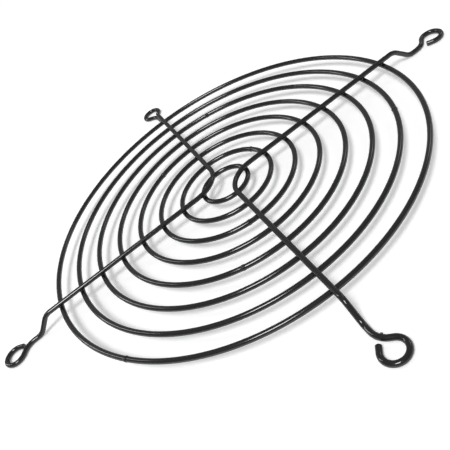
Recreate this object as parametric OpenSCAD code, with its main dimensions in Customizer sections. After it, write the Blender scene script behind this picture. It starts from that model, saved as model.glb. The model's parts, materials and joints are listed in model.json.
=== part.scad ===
// Wire finger guard for a 120 mm axial fan.
// Eight round wire rings lie in one plane. Two V-bent arm wires are
// resistance-welded across the top of them, back to back. Past the outer ring
// each leg steps down and ends in an open eyelet for a fan screw.
// The origin is the guard's centre, on the plane that the eyelets stand on.
// +Z points away from the fan, and +X runs between the right arm wire's legs.

/* [Fan mounting] */
// Distance between neighbouring screw eyelets, along X and along Y
hole_pitch = 105; // [104:0.5:112]
// Clear diameter inside a screw eyelet
eyelet_hole_d = 4.3; // [3.4:0.1:5.2]

/* [Rings] */
// Number of concentric rings
ring_count = 8; // [4:1:12]
// Centreline diameter of the innermost ring
inner_ring_d = 13.9; // [12:0.1:20]
// Centreline diameter of the outermost ring
outer_ring_d = 112.5; // [96:0.5:114]
// Diameter of the coated ring wire
ring_wire_d = 1.4; // [1.1:0.05:2]
// Height of the bead that a ring's butt weld leaves around its wire
bead_height = 0.15; // [0.05:0.05:0.25]

/* [Arm wires] */
// Diameter of the coated arm wire
arm_wire_d = 1.4; // [1.1:0.05:2]
// Distance from the guard's centre to the sharp corner of an arm wire's V
corner_offset = 0.75; // [0.5:0.25:2.5]
// Centreline radius of the bend that rounds that corner
corner_bend_r = 8.5; // [6:0.5:11]
// Depth that a spot weld sets the arm wire into a ring
weld_set = 0.1; // [0.05:0.05:0.3]

/* [Step down to the fan] */
// Drop from the arm wire's upper run to its eyelets
step_drop = 4.3; // [2.6:0.1:5]
// Distance from the outer ring's centreline to the start of the step
step_gap = 3.1; // [1.5:0.1:3.9]
// Slope of the step
step_angle = 43; // [36:1:50]
// Centreline radius of the two bends of the step
step_bend_r = 3.6; // [2:0.2:4.6]

/* [Eyelets] */
// Angle that the neck turns aside before the wire loops back
neck_angle = 53; // [44:1:57]
// Centreline radius of the neck's bend
neck_bend_r = 4.5; // [2:0.25:5.5]
// Distance of an eyelet's centre to the left of its leg, looking outwards
eyelet_offset = 0.85; // [0.2:0.05:1.2]
// Angle that the round part of an eyelet wraps
eyelet_wrap = 264; // [254:1:272]
// Gap between the cut end of the wire and its own neck
tail_gap = 0.3; // [0.1:0.05:0.6]
// Chamfer around the cut end
cut_chamfer = 0.15; // [0.05:0.05:0.4]

/* [Hidden] */

wire_sides = 32;
ring_steps = 180;
bend_steps = 96;
coat_black = [0.13, 0.13, 0.135];

// A bend is drawn a hair thicker than the straights, which end just inside it.
bend_swell = 0.02;
joint_lap = 0.05;
bend_wire_d = arm_wire_d + 2 * bend_swell;

// Where each ring's butt weld lies, from the innermost ring outwards.
seam_angles = [200, 72, 307, 160, 296, 118, 20, 261];

// Heights of the wires' centrelines above the fan.
eyelet_z = bend_wire_d / 2;
arm_z = eyelet_z + step_drop;
ring_z = arm_z - (arm_wire_d + ring_wire_d) / 2 + weld_set;

ring_pitch = (outer_ring_d - inner_ring_d) / 2 / (ring_count - 1);
function ring_r(number) = inner_ring_d / 2 + (number - 1) * ring_pitch;

// The V of an arm wire. Its legs lie at half_angle to either side of its own
// axis, and the axis leans so that both eyelets fall on their screw holes.
eyelet_x = hole_pitch / 2;
eyelet_y = hole_pitch / 2;
half_angle = atan2(eyelet_y, eyelet_x - corner_offset);
corner_to_eyelet = norm([eyelet_x - corner_offset, eyelet_y]);
lean = asin(eyelet_offset / corner_to_eyelet);
corner_tangent = corner_bend_r / tan(half_angle);

// Distances along a leg, from the sharp corner of the V.
leg_reach = sqrt(pow(corner_to_eyelet, 2) - pow(eyelet_offset, 2));
function at_radius(r, leg_angle) =
    sqrt(pow(r, 2) - pow(corner_offset * sin(leg_angle), 2)) - corner_offset * cos(leg_angle);
function step_start(leg_angle) = at_radius(outer_ring_d / 2 + step_gap, leg_angle);

slope_run = (step_drop - 2 * step_bend_r * (1 - cos(step_angle))) / sin(step_angle);
step_length = 2 * step_bend_r * sin(step_angle) + slope_run * cos(step_angle);

// The neck leaves the leg and runs straight onto the eyelet's circle.
eyelet_r = (eyelet_hole_d + bend_wire_d) / 2;
neck_back = (eyelet_r + eyelet_offset * cos(neck_angle)) / sin(neck_angle);
neck_tangent = neck_bend_r * tan(neck_angle / 2);
neck_start = leg_reach - neck_back - neck_tangent;
lead_run = neck_back * cos(neck_angle) + eyelet_offset * sin(neck_angle) - neck_tangent;

// The tail runs back from the loop until it is tail_gap short of the neck's
// bend. Points are measured from the eyelet's centre, with X along the leg.
tail_angle = 90 + neck_angle - eyelet_wrap;
tail_from = eyelet_r * [cos(tail_angle), sin(tail_angle)];
tail_heading = [sin(tail_angle), -cos(tail_angle)];
neck_bend_centre = [-neck_back - neck_tangent, neck_bend_r - eyelet_offset];
keep_off = neck_bend_r + (arm_wire_d + bend_wire_d) / 2 + tail_gap;
to_tail = tail_from - neck_bend_centre;
closing = -to_tail * tail_heading;
tail_run = closing - sqrt(pow(closing, 2) - to_tail * to_tail + pow(keep_off, 2));

// Bends turn left of the wire's own heading, in a plane rolled about the wire.
LEFT = 0;
RIGHT = 180;
DOWN = -90;
UP = 90;

// The bends of one leg, from the V's corner to the tail. A row is
// [straight run, angle of the bend after it, its radius, its direction].
function leg_bends(leg_angle) = [
    [step_start(leg_angle) - corner_tangent, step_angle, step_bend_r, DOWN],
    [slope_run, step_angle, step_bend_r, UP],
    [neck_start - step_start(leg_angle) - step_length, neck_angle, neck_bend_r, LEFT],
    [lead_run, eyelet_wrap, eyelet_r, RIGHT],
];

// A straight length of arm wire along +X, between two bends.
module straight(run) {
    if (run > 0)
        translate([-joint_lap, 0, 0])
            rotate([0, 90, 0])
                cylinder(h = run + 2 * joint_lap, d = arm_wire_d, $fn = wire_sides);
}

// A bend about the origin, starting on the X axis.
module bend(angle, radius) {
    rotate_extrude(angle = angle, $fn = bend_steps)
        translate([radius, 0])
            circle(d = bend_wire_d, $fn = wire_sides);
}

// The straight tail, with its sheared end chamfered.
module tail() {
    wire_r = arm_wire_d / 2;
    rotate([0, 90, 0])
        rotate_extrude($fn = wire_sides)
            polygon([
                [0, -joint_lap],
                [wire_r, -joint_lap],
                [wire_r, tail_run - cut_chamfer],
                [wire_r - cut_chamfer, tail_run],
                [0, tail_run],
            ]);
}

// Wire formed row by row from a list of bends, and finished with a tail.
module formed_wire(bends, row = 0) {
    if (row == len(bends)) {
        tail();
    } else {
        run = bends[row][0];
        angle = bends[row][1];
        radius = bends[row][2];
        turn = bends[row][3];
        straight(run);
        translate([run, 0, 0])
            rotate([turn, 0, 0]) {
                translate([0, radius, 0])
                    rotate([0, 0, -90])
                        bend(angle, radius);
                translate([radius * sin(angle), radius * (1 - cos(angle)), 0])
                    rotate([0, 0, angle])
                        rotate([-turn, 0, 0])
                            formed_wire(bends, row + 1);
            }
    }
}

// The V-bent wire whose legs reach out to either side of +X.
module v_wire() {
    translate([corner_offset, 0, arm_z])
        rotate([0, 0, -lean]) {
            translate([corner_bend_r / sin(half_angle), 0, 0])
                rotate([0, 0, 90 + half_angle])
                    bend(180 - 2 * half_angle, corner_bend_r);
            for (side = [1, -1])
                rotate([0, 0, side * half_angle])
                    translate([corner_tangent, 0, 0])
                        formed_wire(leg_bends(half_angle - side * lean));
        }
}

// The round wire of one ring, without its weld.
module ring_wire(number) {
    translate([0, 0, ring_z])
        rotate_extrude($fn = ring_steps)
            translate([ring_r(number), 0])
                circle(d = ring_wire_d, $fn = wire_sides);
}

// A ring: one wire bent round and closed by a butt weld.
module ring(number) {
    seam = seam_angles[(number - 1) % len(seam_angles)];
    color(coat_black) {
        ring_wire(number);
        rotate([0, 0, seam])
            translate([ring_r(number), 0, ring_z])
                sphere(d = ring_wire_d + 2 * bead_height, $fn = wire_sides);
    }
}

// An arm wire, with a shallow seat pressed in wherever it is welded to a ring.
module arm_wire(heading) {
    color(coat_black)
        difference() {
            rotate([0, 0, heading])
                v_wire();
            for (number = [1:ring_count])
                ring_wire(number);
        }
}

module right_arm_wire() arm_wire(0);
module left_arm_wire() arm_wire(180);

for (number = [1:ring_count])
    ring(number);
left_arm_wire();
right_arm_wire();
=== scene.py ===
"""Looks for a welded wire fan guard: eight coated rings under two V-bent arm wires.

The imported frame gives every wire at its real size. This script sweeps a smooth
coated wire along each centreline, adds the weld fillets where the wires cross
and the small lumps in the coating, and sets up floor, light and camera.
"""
import json
import math

import bmesh
import bpy
from mathutils import Matrix, Vector


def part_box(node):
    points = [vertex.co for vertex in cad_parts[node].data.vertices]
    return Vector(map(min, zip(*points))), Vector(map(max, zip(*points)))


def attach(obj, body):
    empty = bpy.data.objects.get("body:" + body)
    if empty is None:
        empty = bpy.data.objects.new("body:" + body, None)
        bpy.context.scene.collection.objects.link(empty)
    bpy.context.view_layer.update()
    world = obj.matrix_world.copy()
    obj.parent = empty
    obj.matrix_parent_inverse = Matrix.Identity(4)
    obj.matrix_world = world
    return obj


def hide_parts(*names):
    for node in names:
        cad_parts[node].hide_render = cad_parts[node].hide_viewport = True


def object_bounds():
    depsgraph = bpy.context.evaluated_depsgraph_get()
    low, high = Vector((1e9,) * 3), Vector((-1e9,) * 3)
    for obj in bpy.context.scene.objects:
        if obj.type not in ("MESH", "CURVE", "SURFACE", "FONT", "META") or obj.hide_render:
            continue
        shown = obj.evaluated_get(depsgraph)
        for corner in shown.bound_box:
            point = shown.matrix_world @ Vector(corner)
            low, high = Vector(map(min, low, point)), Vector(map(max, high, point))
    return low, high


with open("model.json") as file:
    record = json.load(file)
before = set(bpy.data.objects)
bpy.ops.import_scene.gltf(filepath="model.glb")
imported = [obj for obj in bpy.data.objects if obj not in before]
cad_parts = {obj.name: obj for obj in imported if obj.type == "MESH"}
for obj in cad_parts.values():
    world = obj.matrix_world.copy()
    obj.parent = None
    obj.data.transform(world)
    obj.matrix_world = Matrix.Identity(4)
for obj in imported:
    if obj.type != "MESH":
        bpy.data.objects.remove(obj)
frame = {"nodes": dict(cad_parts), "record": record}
cad_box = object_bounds()
scene = bpy.context.scene

MM = 0.001
UP = Vector((0, 0, 1))

# --- Sizes, in millimetres -------------------------------------------------

# The same as the solids have. Seam angles are in degrees, from ring 1 outwards.
RING_WIRE_D = 1.4
ARM_WIRE_D = 1.4
BEAD_HEIGHT = 0.15
SEAM_ANGLES = (200, 72, 307, 160, 296, 118, 20, 261)

CORNER_OFFSET = 0.75
CORNER_BEND_R = 8.5
STEP_DROP = 4.3
STEP_GAP = 3.1
STEP_ANGLE = math.radians(43)
STEP_BEND_R = 3.6
NECK_ANGLE = math.radians(53)
NECK_BEND_R = 4.5
EYELET_HOLE_D = 4.3
EYELET_OFFSET = 0.85
EYELET_WRAP = math.radians(264)
TAIL_GAP = 0.3
CUT_CHAMFER = 0.15
BEND_SWELL = 0.02

# --- What the frame gives --------------------------------------------------

ring_names = sorted((name for name in frame["nodes"] if name.startswith("ring_")),
                    key=lambda name: int(name.split("_")[1]))
mount = frame["record"]["mounts"][0]
hole_pitch = mount["dims"]["spacing_x_mm"]


def ring_centre(name):
    """A ring's centreline radius and height. Its butt weld widens the box on one side only."""
    low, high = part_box(name)
    outside = min(-low.x, high.x, -low.y, high.y)
    return outside / MM - RING_WIRE_D / 2, (low.z + high.z) / 2 / MM


ring_sizes = [ring_centre(name) for name in ring_names]
ring_z = ring_sizes[0][1]
_, arm_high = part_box("right_arm_wire")
arm_z = arm_high.z / MM - ARM_WIRE_D / 2 - BEND_SWELL


# --- Centrelines -----------------------------------------------------------

# Spacing of a ring's points, and how far from the seam they lie closer.
RING_PACE = 0.45
SEAM_PACE = 0.04
SEAM_REACH = 0.9
CORNER_STEPS = 24


class Forming:
    """A wire as a bending machine forms it: fed straight, and bent about a centre."""

    BEND_STEP = math.radians(3)
    FEED_STEP = 0.4

    def __init__(self, start, heading):
        self.points = [start]
        self.heading = heading

    def feed(self, run):
        """Goes straight on."""
        if run <= 0:
            return
        start = self.points[-1]
        steps = math.ceil(run / self.FEED_STEP)
        self.points += [start + self.heading * (run * step / steps)
                        for step in range(1, steps + 1)]

    def bend(self, angle, radius, towards):
        """Bends about a centre that lies in the direction given."""
        start = self.points[-1]
        heading = self.heading
        steps = math.ceil(angle / self.BEND_STEP)
        for step in range(1, steps + 1):
            turned = angle * step / steps
            self.points.append(start + heading * (radius * math.sin(turned))
                               + towards * (radius * (1 - math.cos(turned))))
        self.heading = heading * math.cos(angle) + towards * math.sin(angle)

    def left(self):
        """The level direction to the left of the wire's heading."""
        return UP.cross(self.heading).normalized()


half_pitch = hole_pitch / 2
half_angle = math.atan2(half_pitch, half_pitch - CORNER_OFFSET)
corner_to_eyelet = math.hypot(half_pitch, half_pitch - CORNER_OFFSET)
lean = math.asin(EYELET_OFFSET / corner_to_eyelet)
corner_tangent = CORNER_BEND_R / math.tan(half_angle)


def leg(side):
    """One leg of an arm wire, from its corner bend out to the cut end of its eyelet."""
    along = half_angle - side * lean
    start = Vector((corner_tangent, 0, 0))
    wire = Forming(start, Vector((1, 0, 0)))

    reach = math.sqrt(corner_to_eyelet ** 2 - EYELET_OFFSET ** 2)
    step_radius = ring_sizes[-1][0] + STEP_GAP
    step_start = (math.sqrt(step_radius ** 2 - (CORNER_OFFSET * math.sin(along)) ** 2)
                  - CORNER_OFFSET * math.cos(along))
    slope_run = ((STEP_DROP - 2 * STEP_BEND_R * (1 - math.cos(STEP_ANGLE)))
                 / math.sin(STEP_ANGLE))
    step_length = 2 * STEP_BEND_R * math.sin(STEP_ANGLE) + slope_run * math.cos(STEP_ANGLE)

    eyelet_r = (EYELET_HOLE_D + ARM_WIRE_D) / 2 + BEND_SWELL
    neck_back = (eyelet_r + EYELET_OFFSET * math.cos(NECK_ANGLE)) / math.sin(NECK_ANGLE)
    neck_tangent = NECK_BEND_R * math.tan(NECK_ANGLE / 2)
    lead_run = (neck_back * math.cos(NECK_ANGLE) + EYELET_OFFSET * math.sin(NECK_ANGLE)
                - neck_tangent)

    wire.feed(step_start - corner_tangent)
    wire.bend(STEP_ANGLE, STEP_BEND_R, -UP)
    wire.feed(slope_run)
    wire.bend(STEP_ANGLE, STEP_BEND_R, wire.heading.cross(wire.left()))
    wire.feed(reach - neck_back - neck_tangent - step_start - step_length)
    wire.bend(NECK_ANGLE, NECK_BEND_R, wire.left())
    wire.feed(lead_run)
    wire.bend(EYELET_WRAP, eyelet_r, -wire.left())
    wire.feed(tail_run(eyelet_r, neck_back + neck_tangent))

    turn = Matrix.Rotation(side * half_angle, 3, "Z")
    return [turn @ point for point in wire.points]


def tail_run(eyelet_r, neck_to_eyelet):
    """Length of the straight tail, which stops short of the neck's bend by the tail gap."""
    angle = math.pi / 2 + NECK_ANGLE - EYELET_WRAP
    start = Vector((math.cos(angle), math.sin(angle))) * eyelet_r
    heading = Vector((math.sin(angle), -math.cos(angle)))
    bend_centre = Vector((-neck_to_eyelet, NECK_BEND_R - EYELET_OFFSET))
    keep_off = NECK_BEND_R + ARM_WIRE_D + BEND_SWELL + TAIL_GAP
    offset = start - bend_centre
    closing = -offset.dot(heading)
    return closing - math.sqrt(closing ** 2 - offset.dot(offset) + keep_off ** 2)


def arm_centreline(turned):
    """The whole V, eyelet to eyelet, with its legs to either side of the turned X axis."""
    bend_centre = Vector((CORNER_BEND_R / math.sin(half_angle), 0, 0))
    sweep = math.pi - 2 * half_angle
    corner = []
    for step in range(1, CORNER_STEPS):
        angle = math.pi / 2 + half_angle + sweep * step / CORNER_STEPS
        spoke = Vector((math.cos(angle), math.sin(angle), 0))
        corner.append(bend_centre + CORNER_BEND_R * spoke)
    points = leg(1)[::-1] + corner + leg(-1)
    place = (Matrix.Rotation(turned, 4, "Z")
             @ Matrix.Translation((CORNER_OFFSET, 0, arm_z))
             @ Matrix.Rotation(-lean, 4, "Z"))
    return [place @ point for point in points]


def ring_centreline(radius, height, seam):
    """Points round a ring, starting opposite its seam and closest together at the seam.

    Returns each point with its distance from the seam along the wire.
    """
    distances = [0.0]
    while distances[-1] < math.pi * radius:
        pace = SEAM_PACE if distances[-1] < SEAM_REACH else RING_PACE
        distances.append(distances[-1] + pace)
    distances[-1] = math.pi * radius
    both_ways = [-distance for distance in distances[:0:-1]] + distances[:-1]
    return [(Vector((radius * math.cos(seam + distance / radius),
                     radius * math.sin(seam + distance / radius), height)), distance)
            for distance in both_ways]


# --- Nodes that both shapes and shaders use --------------------------------

def maths(tree, operation, *values):
    """A Math node on values that are sockets or plain numbers. Returns its output."""
    node = tree.nodes.new("ShaderNodeMath")
    node.operation = operation
    for socket, value in zip(node.inputs, values):
        if isinstance(value, (int, float)):
            socket.default_value = value
        else:
            tree.links.new(value, socket)
    return node.outputs[0]


def map_range(tree, value, source, target):
    """A Map Range node from one pair of limits to another. Returns its output."""
    node = tree.nodes.new("ShaderNodeMapRange")
    node.inputs["From Min"].default_value, node.inputs["From Max"].default_value = source
    node.inputs["To Min"].default_value, node.inputs["To Max"].default_value = target
    tree.links.new(value, node.inputs["Value"])
    return node.outputs["Result"]


# --- Geometry Nodes --------------------------------------------------------

SMOOTH_ANGLE = math.radians(35)


def new_tree(name, inputs):
    """A Geometry Nodes tree with a geometry input and output, and the inputs named."""
    tree = bpy.data.node_groups.new(name, "GeometryNodeTree")
    tree.interface.new_socket("Geometry", in_out="INPUT", socket_type="NodeSocketGeometry")
    for label, kind in inputs:
        tree.interface.new_socket(label, in_out="INPUT", socket_type="NodeSocket" + kind)
    tree.interface.new_socket("Geometry", in_out="OUTPUT", socket_type="NodeSocketGeometry")
    return tree, tree.nodes.new("NodeGroupInput"), tree.nodes.new("NodeGroupOutput")


def wire_tree():
    """Sweeps a round coated wire along a chain of edges.

    The points carry a 'thickness' factor, which swells the wire at a butt weld
    and narrows it at a cut end. The coating adds a slow ripple of its own.
    """
    tree, given, result = new_tree("coated_wire", [
        ("Wire Diameter", "Float"), ("Sides", "Int"), ("Film Ripple", "Float"),
        ("Ripple Length", "Float"), ("Finish", "Material")])
    nodes, links = tree.nodes, tree.links

    chain = nodes.new("GeometryNodeMeshToCurve")
    links.new(given.outputs["Geometry"], chain.inputs["Mesh"])

    position = nodes.new("GeometryNodeInputPosition")
    spread = nodes.new("ShaderNodeVectorMath")
    spread.operation = "SCALE"
    links.new(position.outputs["Position"], spread.inputs[0])
    links.new(maths(tree, "DIVIDE", 1.0, given.outputs["Ripple Length"]), spread.inputs["Scale"])
    noise = nodes.new("ShaderNodeTexNoise")
    noise.inputs["Scale"].default_value = 1.0
    noise.inputs["Detail"].default_value = 1.0
    links.new(spread.outputs["Vector"], noise.inputs["Vector"])
    centred = maths(tree, "SUBTRACT", noise.outputs["Fac"], 0.5)
    relative = maths(tree, "DIVIDE", given.outputs["Film Ripple"], given.outputs["Wire Diameter"])
    ripple = maths(tree, "MULTIPLY", centred, relative)

    thickness = nodes.new("GeometryNodeInputNamedAttribute")
    thickness.data_type = "FLOAT"
    thickness.inputs["Name"].default_value = "thickness"
    swell = maths(tree, "ADD", ripple, thickness.outputs["Attribute"])

    profile = nodes.new("GeometryNodeCurvePrimitiveCircle")
    links.new(given.outputs["Sides"], profile.inputs["Resolution"])
    links.new(maths(tree, "MULTIPLY", given.outputs["Wire Diameter"], 0.5),
              profile.inputs["Radius"])

    sweep = nodes.new("GeometryNodeCurveToMesh")
    sweep.inputs["Fill Caps"].default_value = True
    links.new(chain.outputs["Curve"], sweep.inputs["Curve"])
    links.new(profile.outputs["Curve"], sweep.inputs["Profile Curve"])
    links.new(swell, sweep.inputs["Scale"])

    finish_tree(tree, sweep.outputs["Mesh"], given, result)
    return tree


def finish_tree(tree, geometry, given, result):
    """Ends a tree in Realize Instances and Set Material."""
    realize = tree.nodes.new("GeometryNodeRealizeInstances")
    finish = tree.nodes.new("GeometryNodeSetMaterial")
    tree.links.new(geometry, realize.inputs["Geometry"])
    tree.links.new(realize.outputs["Geometry"], finish.inputs["Geometry"])
    tree.links.new(given.outputs["Finish"], finish.inputs["Material"])
    tree.links.new(finish.outputs["Geometry"], result.inputs["Geometry"])


def run_tree(name, source, tree, values):
    """Runs a tree on a mesh and returns the result as a plain mesh object."""
    scaffold = bpy.data.objects.new(name + "_scaffold", source)
    scene.collection.objects.link(scaffold)
    modifier = scaffold.modifiers.new("build", "NODES")
    modifier.node_group = tree
    for item in tree.interface.items_tree:
        if item.in_out == "INPUT" and item.name in values:
            modifier[item.identifier] = values[item.name]
    graph = bpy.context.evaluated_depsgraph_get()
    mesh = bpy.data.meshes.new_from_object(scaffold.evaluated_get(graph))
    mesh.name = name
    scaffold.modifiers.remove(modifier)
    bpy.data.objects.remove(scaffold)
    mesh.set_sharp_from_angle(angle=SMOOTH_ANGLE)
    piece = bpy.data.objects.new(name, mesh)
    scene.collection.objects.link(piece)
    return piece


def chain_mesh(name, points, thickness, closed):
    """A chain of edges through the points, in metres, with a thickness factor on each."""
    mesh = bpy.data.meshes.new(name)
    edges = [(index, index + 1) for index in range(len(points) - 1)]
    if closed:
        edges.append((len(points) - 1, 0))
    mesh.from_pydata([point * MM for point in points], edges, [])
    mesh.attributes.new("thickness", "FLOAT", "POINT").data.foreach_set("value", thickness)
    return mesh


# Length, width and height of a nib, as shares of its nominal radius.
NIB_SMALLEST = (0.6, 0.6, 0.25)
NIB_LARGEST = (1.5, 1.2, 0.55)


def nib_tree():
    """Scatters small lumps over a wire, where dust was caught under the coating."""
    tree, given, result = new_tree("coating_nibs", [
        ("Nibs Per Square Metre", "Float"), ("Nib Radius", "Float"), ("Seed", "Int"),
        ("Finish", "Material")])
    nodes, links = tree.nodes, tree.links

    scatter = nodes.new("GeometryNodeDistributePointsOnFaces")
    links.new(given.outputs["Geometry"], scatter.inputs["Mesh"])
    links.new(given.outputs["Nibs Per Square Metre"], scatter.inputs["Density"])
    links.new(given.outputs["Seed"], scatter.inputs["Seed"])

    lump = nodes.new("GeometryNodeMeshIcoSphere")
    lump.inputs["Subdivisions"].default_value = 2
    links.new(given.outputs["Nib Radius"], lump.inputs["Radius"])
    smooth = nodes.new("GeometryNodeSetShadeSmooth")
    links.new(lump.outputs["Mesh"], smooth.inputs["Geometry"])

    size = nodes.new("FunctionNodeRandomValue")
    size.data_type = "FLOAT_VECTOR"
    size.inputs["Min"].default_value = NIB_SMALLEST
    size.inputs["Max"].default_value = NIB_LARGEST
    links.new(given.outputs["Seed"], size.inputs["Seed"])

    place = nodes.new("GeometryNodeInstanceOnPoints")
    links.new(scatter.outputs["Points"], place.inputs["Points"])
    links.new(scatter.outputs["Rotation"], place.inputs["Rotation"])
    links.new(smooth.outputs["Geometry"], place.inputs["Instance"])
    links.new(size.outputs["Value"], place.inputs["Scale"])

    join = nodes.new("GeometryNodeJoinGeometry")
    links.new(place.outputs["Instances"], join.inputs["Geometry"])
    links.new(given.outputs["Geometry"], join.inputs["Geometry"])
    finish_tree(tree, join.outputs["Geometry"], given, result)
    return tree


# --- Shaders ---------------------------------------------------------------

DUST_COLOUR = (0.16, 0.155, 0.15, 1)
DUST_GRAINS_PER_METRE = 900.0
DUST_GRAIN_REACH = 0.13
DUST_ROUGHNESS = 0.3
TONE_RANGE = (0.8, 1.25)
SHINE_RANGE = (0.8, 1.2)
# How far a face turns from the eye before its gloss starts to fade, and is gone.
GLOSS_FADE = (0.5, 0.74)


def coating_group():
    """The skin of a dipped black coating: flow, orange peel and fine dust."""
    group = bpy.data.node_groups.new("dipped_coating", "ShaderNodeTree")
    for label, kind in (("Colour", "Color"), ("Shine Spread", "Float"), ("Flow Length", "Float"),
                        ("Peel Length", "Float"), ("Peel Depth", "Float"), ("Dust", "Float")):
        group.interface.new_socket(label, in_out="INPUT", socket_type="NodeSocket" + kind)
    for label, kind in (("Colour", "Color"), ("Roughness", "Float"), ("Normal", "Vector")):
        group.interface.new_socket(label, in_out="OUTPUT", socket_type="NodeSocket" + kind)
    nodes, links = group.nodes, group.links
    given = nodes.new("NodeGroupInput")
    result = nodes.new("NodeGroupOutput")
    place = nodes.new("ShaderNodeTexCoord").outputs["Object"]

    def noise(length, detail):
        texture = nodes.new("ShaderNodeTexNoise")
        texture.inputs["Detail"].default_value = detail
        links.new(place, texture.inputs["Vector"])
        links.new(maths(group, "DIVIDE", 1.0, length), texture.inputs["Scale"])
        return texture.outputs["Fac"]

    flow = noise(given.outputs["Flow Length"], 2.0)
    peel = noise(given.outputs["Peel Length"], 1.0)
    specks = nodes.new("ShaderNodeTexVoronoi")
    specks.inputs["Scale"].default_value = DUST_GRAINS_PER_METRE
    links.new(place, specks.inputs["Vector"])
    speck = maths(group, "LESS_THAN", specks.outputs["Distance"], DUST_GRAIN_REACH)
    dust = maths(group, "MULTIPLY", speck, given.outputs["Dust"])

    tone = map_range(group, flow, (0, 1), TONE_RANGE)
    shade = nodes.new("ShaderNodeVectorMath")
    shade.operation = "SCALE"
    links.new(given.outputs["Colour"], shade.inputs[0])
    links.new(tone, shade.inputs["Scale"])
    dusty = nodes.new("ShaderNodeMix")
    dusty.data_type = "RGBA"
    links.new(dust, dusty.inputs["Factor"])
    links.new(shade.outputs["Vector"], dusty.inputs["A"])
    dusty.inputs["B"].default_value = DUST_COLOUR
    links.new(dusty.outputs["Result"], result.inputs["Colour"])

    uneven = map_range(group, flow, (0, 1), SHINE_RANGE)
    spread = maths(group, "MULTIPLY", uneven, given.outputs["Shine Spread"])
    links.new(maths(group, "ADD", spread, maths(group, "MULTIPLY", dust, DUST_ROUGHNESS)),
              result.inputs["Roughness"])

    bump = nodes.new("ShaderNodeBump")
    links.new(maths(group, "MULTIPLY", peel, given.outputs["Peel Depth"]), bump.inputs["Height"])
    links.new(bump.outputs["Normal"], result.inputs["Normal"])
    return group


def coated_wire_material(name, group, colour, values):
    """Black coated steel wire, a little glossy."""
    material = bpy.data.materials.new(name)
    material.use_nodes = True
    nodes, links = material.node_tree.nodes, material.node_tree.links
    shader = nodes["Principled BSDF"]
    shader.inputs["Specular IOR Level"].default_value = 0.06
    shader.inputs["Coat Roughness"].default_value = 0.12
    shader.inputs["Coat IOR"].default_value = 1.55
    # The coating's fine grain takes the mirror off its edges.
    turned_away = nodes.new("ShaderNodeLayerWeight").outputs["Facing"]
    links.new(map_range(material.node_tree, turned_away, GLOSS_FADE, (1, 0)),
              shader.inputs["Coat Weight"])
    skin = nodes.new("ShaderNodeGroup")
    skin.node_tree = group
    skin.inputs["Colour"].default_value = (*colour, 1)
    for label, value in values.items():
        skin.inputs[label].default_value = value
    links.new(skin.outputs["Colour"], shader.inputs["Base Color"])
    links.new(skin.outputs["Roughness"], shader.inputs["Roughness"])
    links.new(skin.outputs["Normal"], shader.inputs["Normal"])
    return material


# --- Weld fillets ----------------------------------------------------------

# A fillet reaches out to where the crevice has opened to this gap, and to this
# much more in the four corners between the wires. Its face is hollow by a share
# of its height, and its top and bottom are sunk in the wires by its root.
FILLET_GAP = 0.3
FILLET_CORNER_GAP = 0.3
FILLET_REACH = (0.1, 1.1)
FILLET_REACH_STEP = 0.01
FILLET_HOLLOW = 0.4
FILLET_ROOT = 0.08
FILLET_COLUMNS = 40
FILLET_ROWS = 6
UPPER_RUN_TOLERANCE = 0.01


def crossings(points, radius):
    """Where an arm's upper run passes over a ring: plan position and direction."""
    found = []
    for near, far in zip(points, points[1:]):
        before = math.hypot(near.x, near.y) - radius
        after = math.hypot(far.x, far.y) - radius
        if before * after <= 0 and abs(near.z - arm_z) < UPPER_RUN_TOLERANCE:
            share = before / (before - after)
            found.append((near.lerp(far, share), (far - near).normalized()))
    return found


def fillet(centre, direction, ring_radius, vertices, faces):
    """Adds the coating that fills the crevice round one weld, as a closed lens."""
    arm_r, wire_r = ARM_WIRE_D / 2, RING_WIRE_D / 2
    across = UP.cross(direction)
    heading = math.atan2(direction.y, direction.x)

    def crevice(spot):
        """Heights of the arm wire's underside and the ring's top at a place in plan."""
        beside_arm = (spot - centre).dot(across)
        beside_ring = math.hypot(spot.x, spot.y) - ring_radius
        return (arm_z - math.sqrt(max(arm_r ** 2 - beside_arm ** 2, 0)),
                ring_z + math.sqrt(max(wire_r ** 2 - beside_ring ** 2, 0)))

    def rim_at(outwards, gap):
        """Where the crevice has opened to the gap, going outwards from the weld."""
        reach, limit = FILLET_REACH
        while reach < limit:
            high, low = crevice(centre + outwards * reach)
            if high - low >= gap:
                break
            reach += FILLET_REACH_STEP
        return centre + outwards * reach

    base = len(vertices)
    for column in range(FILLET_COLUMNS):
        angle = 2 * math.pi * column / FILLET_COLUMNS
        outwards = Vector((math.cos(angle), math.sin(angle), 0))
        cornered = math.sin(2 * (angle - heading)) ** 2
        rim = rim_at(outwards, FILLET_GAP + FILLET_CORNER_GAP * cornered)
        high, low = crevice(rim)
        root = rim - outwards * FILLET_ROOT
        vertices.append(Vector((root.x, root.y, high + FILLET_ROOT)))
        for row in range(FILLET_ROWS + 1):
            share = row / FILLET_ROWS
            inset = FILLET_HOLLOW * (high - low) * math.sin(math.pi * share)
            spot = rim - outwards * inset
            vertices.append(Vector((spot.x, spot.y, high + (low - high) * share)))
        vertices.append(Vector((root.x, root.y, low - FILLET_ROOT)))

    rows = FILLET_ROWS + 3
    top = len(vertices)
    vertices.append(Vector((centre.x, centre.y, arm_z - arm_r + FILLET_ROOT)))
    vertices.append(Vector((centre.x, centre.y, ring_z + wire_r - FILLET_ROOT)))
    for column in range(FILLET_COLUMNS):
        here = base + column * rows
        beside = base + (column + 1) % FILLET_COLUMNS * rows
        for row in range(rows - 1):
            faces.append((here + row, here + row + 1, beside + row + 1, beside + row))
        faces.append((top, here, beside))
        faces.append((top + 1, beside + rows - 1, here + rows - 1))


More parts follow.
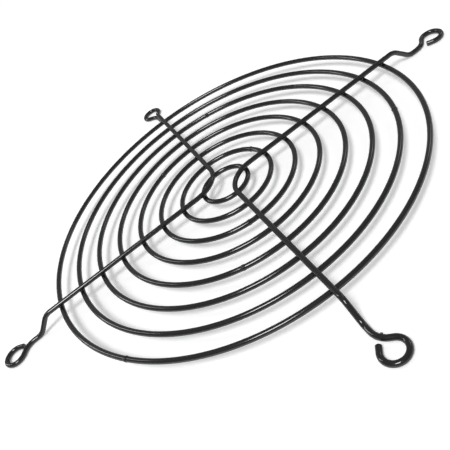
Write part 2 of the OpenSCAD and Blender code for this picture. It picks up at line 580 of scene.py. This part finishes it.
def weld_fillets(name, points, material):
    """All the weld fillets of one arm wire, as one piece."""
    vertices, faces = [], []
    for radius, _ in ring_sizes:
        for centre, direction in crossings(points, radius):
            fillet(centre, direction, radius, vertices, faces)
    mesh = bpy.data.meshes.new(name)
    mesh.from_pydata([vertex * MM for vertex in vertices], [], faces)
    mesh.shade_smooth()
    mesh.materials.append(material)
    piece = bpy.data.objects.new(name, mesh)
    scene.collection.objects.link(piece)
    return piece


# --- The wires -------------------------------------------------------------

WIRE_SIDES = 28
FILM_RIPPLE = 0.006
RIPPLE_LENGTH = 3.5
# A butt weld: a bead along the wire, with a fine groove across its middle.
BEAD_SPREAD = 0.3
GROOVE_DEPTH = 0.13
GROOVE_SPREAD = 0.09
# Tiny lumps, and the coating's own colour.
NIBS_PER_MM2 = 0.002
NIB_RADIUS = 0.09
COATING_BLACK = (0.005, 0.005, 0.0053)

# Lumps where the coating ran together: one in the nook of a neck's bend, and
# one beside a weld near the guard's centre. Place in millimetres, and radius.
LUMPS = {"right_arm_wire": (Vector((49.74, -49.09, 1.05)), 0.3),
         "left_arm_wire": (Vector((-5.25, -2.87, 5.45)), 0.25)}

wire_maker = wire_tree()
nib_maker = nib_tree()
coating = coating_group()
ring_finish = coated_wire_material(
    "ring_coating", coating, COATING_BLACK,
    {"Shine Spread": 0.3, "Flow Length": 9 * MM, "Peel Length": 0.5 * MM,
     "Peel Depth": 0.0012 * MM, "Dust": 0.06})
arm_finish = coated_wire_material(
    "arm_coating", coating, COATING_BLACK,
    {"Shine Spread": 0.34, "Flow Length": 12 * MM, "Peel Length": 0.6 * MM,
     "Peel Depth": 0.0015 * MM, "Dust": 0.06})


def coated_wire(name, points, thickness, diameter, closed, finish, seed):
    """One wire swept along its centreline, with a few lumps in its coating."""
    bare = run_tree(name + "_bare", chain_mesh(name + "_chain", points, thickness, closed),
                    wire_maker, {"Wire Diameter": diameter * MM, "Sides": WIRE_SIDES,
                                 "Film Ripple": FILM_RIPPLE * MM,
                                 "Ripple Length": RIPPLE_LENGTH * MM, "Finish": finish})
    mesh = bare.data
    bpy.data.objects.remove(bare)
    return run_tree(name, mesh, nib_maker, {"Nibs Per Square Metre": NIBS_PER_MM2 / MM ** 2,
                                            "Nib Radius": NIB_RADIUS * MM, "Seed": seed,
                                            "Finish": finish})


def lump_piece(name, centre, radius, finish):
    """A small round lump, half sunk in the wire."""
    mesh = bpy.data.meshes.new(name)
    shape = bmesh.new()
    bmesh.ops.create_icosphere(shape, subdivisions=3, radius=radius * MM,
                               matrix=Matrix.Translation(centre * MM))
    shape.to_mesh(mesh)
    shape.free()
    mesh.shade_smooth()
    mesh.materials.append(finish)
    lump = bpy.data.objects.new(name, mesh)
    scene.collection.objects.link(lump)
    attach(lump, "root")


def ring_piece(number, name):
    """A ring, swollen where its ends were butt-welded together."""
    radius, height = ring_sizes[number]
    seam = math.radians(SEAM_ANGLES[number % len(SEAM_ANGLES)])
    points, thickness = [], []
    for point, away in ring_centreline(radius, height, seam):
        bead = BEAD_HEIGHT * math.exp(-(away / BEAD_SPREAD) ** 2)
        groove = GROOVE_DEPTH * math.exp(-(away / GROOVE_SPREAD) ** 2)
        points.append(point)
        thickness.append(1 + (bead - groove) / (RING_WIRE_D / 2))
    piece = coated_wire("coated_" + name, points, thickness, RING_WIRE_D, True,
                        ring_finish, number)
    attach(piece, "root")
    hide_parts(name)


def arm_piece(name, turned, seed):
    """An arm wire with its sheared ends, the weld fillets under it and its lump."""
    points = arm_centreline(turned)
    thickness = [1.0] * len(points)
    for end, inner in ((0, 1), (-1, -2)):
        outwards = (points[end] - points[inner]).normalized()
        shoulder = points[end] - outwards * CUT_CHAMFER
        thickness[end] = 1 - CUT_CHAMFER / (ARM_WIRE_D / 2)
        at = 1 if end == 0 else len(points) - 1
        points.insert(at, shoulder)
        thickness.insert(at, 1.0)
    piece = coated_wire("coated_" + name, points, thickness, ARM_WIRE_D, False,
                        arm_finish, seed)
    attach(piece, "root")
    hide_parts(name)
    welds = weld_fillets(name + "_weld_fillets", points, arm_finish)
    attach(welds, "root")
    lump_piece(name + "_lump", *LUMPS[name], arm_finish)


for number, name in enumerate(ring_names):
    ring_piece(number, name)
arm_piece("right_arm_wire", 0, 20)
arm_piece("left_arm_wire", math.pi, 30)


# --- Floor, light and camera -----------------------------------------------

def seen_by_eye_or_gloss(tree):
    """1 for camera, glossy and transmitted rays, and 0 for the rays that light things."""
    path = tree.nodes.new("ShaderNodeLightPath")
    seen = maths(tree, "MAXIMUM", path.outputs["Is Camera Ray"], path.outputs["Is Glossy Ray"])
    return maths(tree, "MAXIMUM", seen, path.outputs["Is Transmission Ray"])


FLOOR_SIZE = 6.0
FLOOR_DROP = 0.02 * MM
FLOOR_WHITE = (0.86, 0.86, 0.865, 1)
FLOOR_LIFT = 0.27
AMBIENT_WHITE = (0.98, 0.99, 1, 1)
AMBIENT = 0.36


def floor_paper():
    """Matt white paper, lifted to full white for the eye but not for the light it gives."""
    paper = bpy.data.materials.new("white_paper")
    paper.use_nodes = True
    tree = paper.node_tree
    tree.nodes.clear()
    matt = tree.nodes.new("ShaderNodeBsdfDiffuse")
    matt.inputs["Color"].default_value = FLOOR_WHITE
    lift = tree.nodes.new("ShaderNodeEmission")
    tree.links.new(maths(tree, "MULTIPLY", seen_by_eye_or_gloss(tree), FLOOR_LIFT),
                   lift.inputs["Strength"])
    both = tree.nodes.new("ShaderNodeAddShader")
    surface = tree.nodes.new("ShaderNodeOutputMaterial")
    tree.links.new(matt.outputs[0], both.inputs[0])
    tree.links.new(lift.outputs[0], both.inputs[1])
    tree.links.new(both.outputs[0], surface.inputs["Surface"])
    return paper


def lay_floor():
    """A wide sheet of paper, a hair below the guard."""
    half = FLOOR_SIZE / 2
    mesh = bpy.data.meshes.new("floor")
    mesh.from_pydata([(-half, -half, 0), (half, -half, 0), (half, half, 0), (-half, half, 0)],
                     [], [(0, 1, 2, 3)])
    mesh.materials.append(floor_paper())
    floor = bpy.data.objects.new("floor", mesh)
    floor.location.z = cad_box[0].z - FLOOR_DROP
    scene.collection.objects.link(floor)


def light_room():
    """Even light from all round."""
    scene.world = bpy.data.worlds.new("studio")
    scene.world.use_nodes = True
    sky = scene.world.node_tree.nodes["Background"]
    sky.inputs["Color"].default_value = AMBIENT_WHITE
    sky.inputs["Strength"].default_value = AMBIENT


def towards(azimuth, elevation):
    """The direction from the guard to a place in the studio, in degrees."""
    azimuth, elevation = math.radians(azimuth), math.radians(elevation)
    return Vector((math.cos(elevation) * math.cos(azimuth),
                   math.cos(elevation) * math.sin(azimuth), math.sin(elevation)))


def soft_box(name, azimuth, elevation, distance, width, height, power):
    """A rectangular lamp that faces the guard, in degrees, metres and watts."""
    lamp = bpy.data.lights.new(name, "AREA")
    lamp.shape = "RECTANGLE"
    lamp.size = width
    lamp.size_y = height
    lamp.energy = power
    box = bpy.data.objects.new(name, lamp)
    direction = towards(azimuth, elevation)
    box.matrix_world = (Matrix.Translation(direction * distance)
                        @ direction.to_track_quat("Z", "Y").to_matrix().to_4x4())
    scene.collection.objects.link(box)


# The camera looks down on the guard with its head turned.
SENSOR_MM = 36
LENS_MM = 47.2936
CAMERA_SHIFT = (-0.0404, 0.006622)
CAMERA_AZIMUTH = -51.763
CAMERA_ELEVATION = 33.134
CAMERA_DISTANCE = 166.478 * MM
CAMERA_TARGET = Vector((0, 0, 2.5)) * MM
CAMERA_PAN = -0.02593
CAMERA_TILT = 0.06987
CAMERA_ROLL = math.radians(-33.744)


def place_camera():
    """The camera, aimed at the guard and then turned by small pan and tilt angles."""
    camera = bpy.data.cameras.new("camera")
    camera.sensor_width = SENSOR_MM
    camera.lens = LENS_MM
    camera.shift_x, camera.shift_y = CAMERA_SHIFT
    camera.clip_start = 0.01
    viewer = bpy.data.objects.new("camera", camera)
    place = CAMERA_TARGET + towards(CAMERA_AZIMUTH, CAMERA_ELEVATION) * CAMERA_DISTANCE
    viewer.matrix_world = (Matrix.Translation(place)
                           @ Matrix.Rotation(math.radians(CAMERA_AZIMUTH + 90), 4, "Z")
                           @ Matrix.Rotation(math.radians(90 - CAMERA_ELEVATION), 4, "X")
                           @ Matrix.Rotation(CAMERA_ROLL, 4, "Z")
                           @ Matrix.Rotation(CAMERA_PAN, 4, "Y")
                           @ Matrix.Rotation(-CAMERA_TILT, 4, "X"))
    scene.collection.objects.link(viewer)
    scene.camera = viewer


lay_floor()
light_room()
soft_box("key", -80, 61, 2.1, 0.6, 0.75, 27)
soft_box("side", -175, 33, 2.1, 0.18, 1.2, 6)
soft_box("back", 64, 33, 2.1, 0.5, 0.5, 1.5)
place_camera()
scene.view_settings.view_transform = "Standard"
